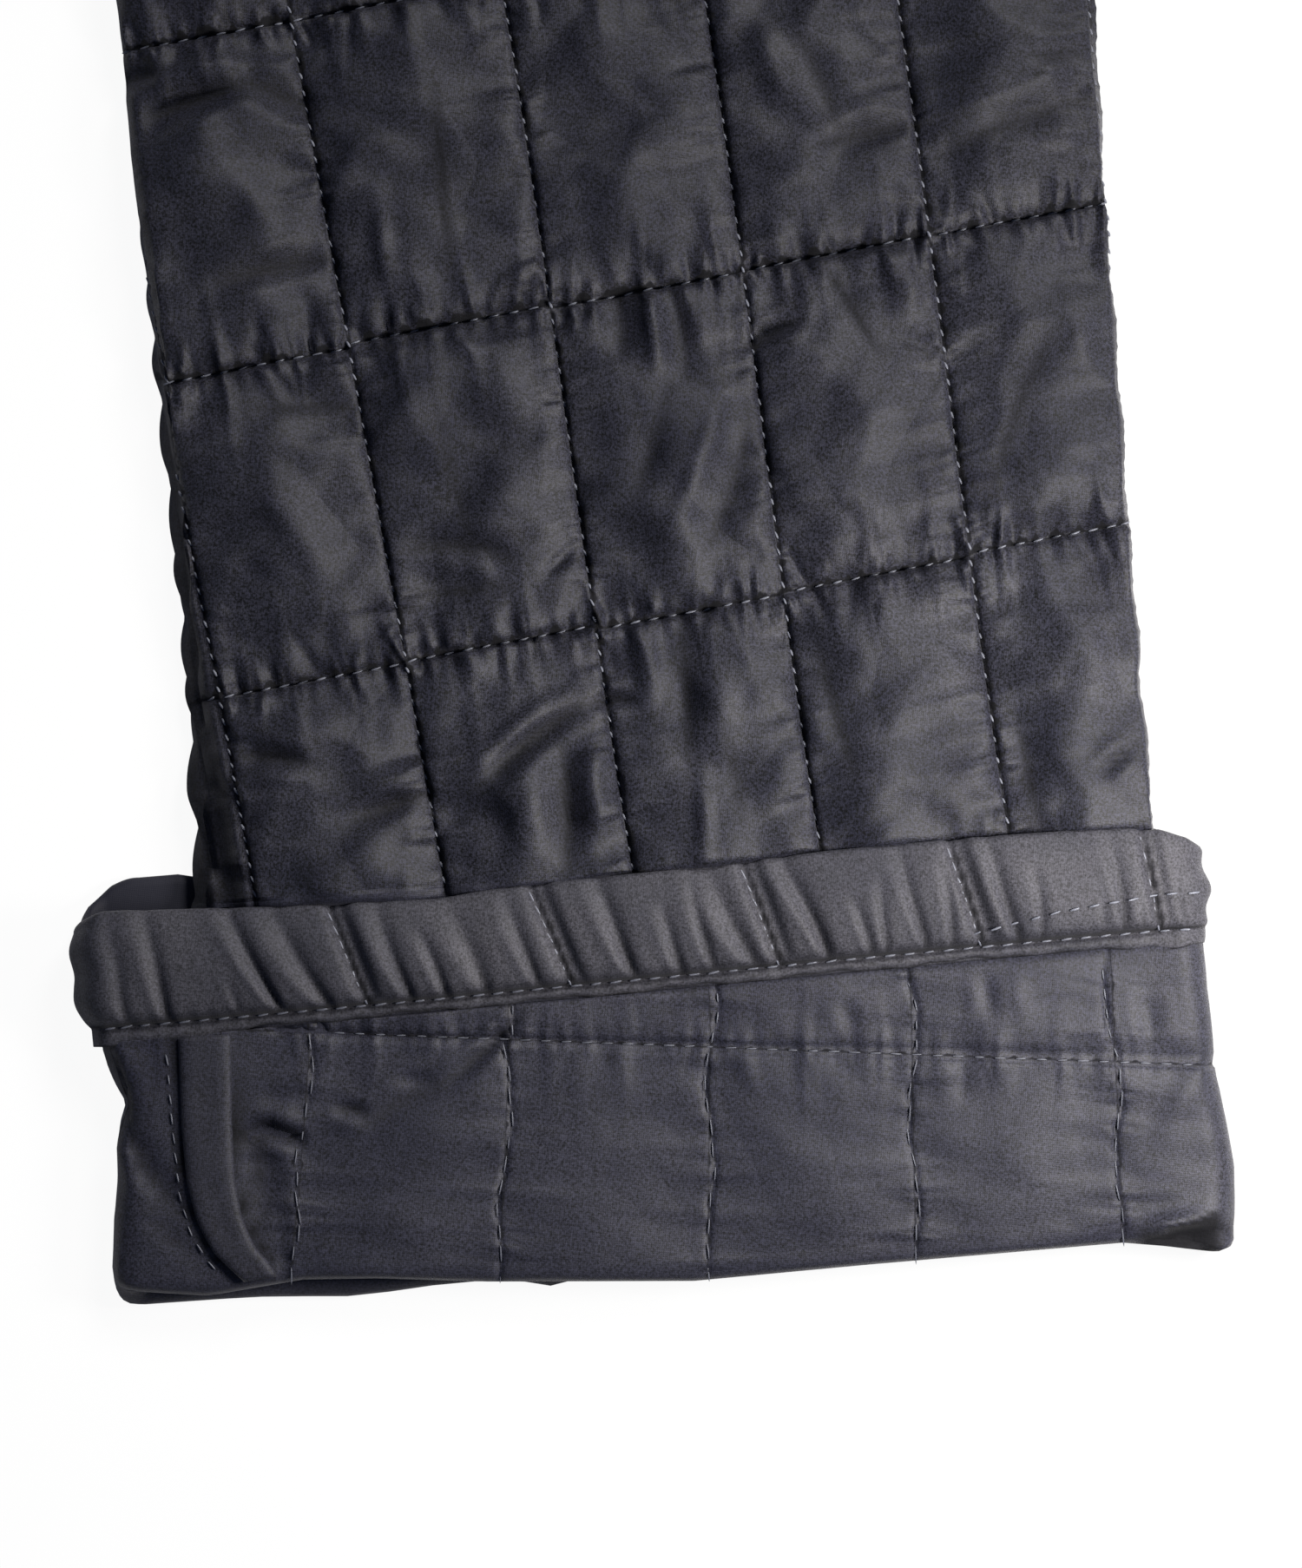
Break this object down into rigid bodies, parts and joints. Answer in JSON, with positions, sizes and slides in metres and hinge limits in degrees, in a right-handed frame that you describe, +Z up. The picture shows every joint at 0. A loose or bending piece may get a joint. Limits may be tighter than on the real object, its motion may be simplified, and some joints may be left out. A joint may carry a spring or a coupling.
{
  "type": "quilted jacket",
  "caption": "Collarless box-quilted nylon jacket laid flat on its back, with a snap placket and both cuffs turned back to show a gathered self-hem.",
  "frame": {"origin": "on the surface the jacket lies on, in the middle of its outline seen from above", "axes": "+Z up off the front, +Y towards the neck, +X towards the wearer's left sleeve"},
  "size_m": [1.4722, 0.6859, 0.0118],
  "materials": {
    "shell": "box-quilted nylon taffeta, dark charcoal navy, soft sheen, puckered at the stitch lines",
    "shell_inside": "inside of the same nylon, flatter quilting, a little paler",
    "binding": "plain nylon binding and placket, edge-stitched",
    "snap": "plain domed dark snap button"
  },
  "bodies": {
    "root": {"back": "shell", "front_left": "shell", "front_right": "shell", "sleeve_left": "shell", "sleeve_right": "shell", "cuff_hem_left": "shell_inside", "cuff_hem_right": "shell_inside", "cuff_seam_left": "shell_inside", "cuff_seam_right": "shell_inside", "neck_binding_left": "binding", "neck_binding_right": "binding", "neck_binding_back": "binding", "placket": "binding", "snap_1": "snap", "snap_2": "snap", "snap_3": "snap", "snap_4": "snap", "snap_5": "snap"}
  },
  "joints": []
}
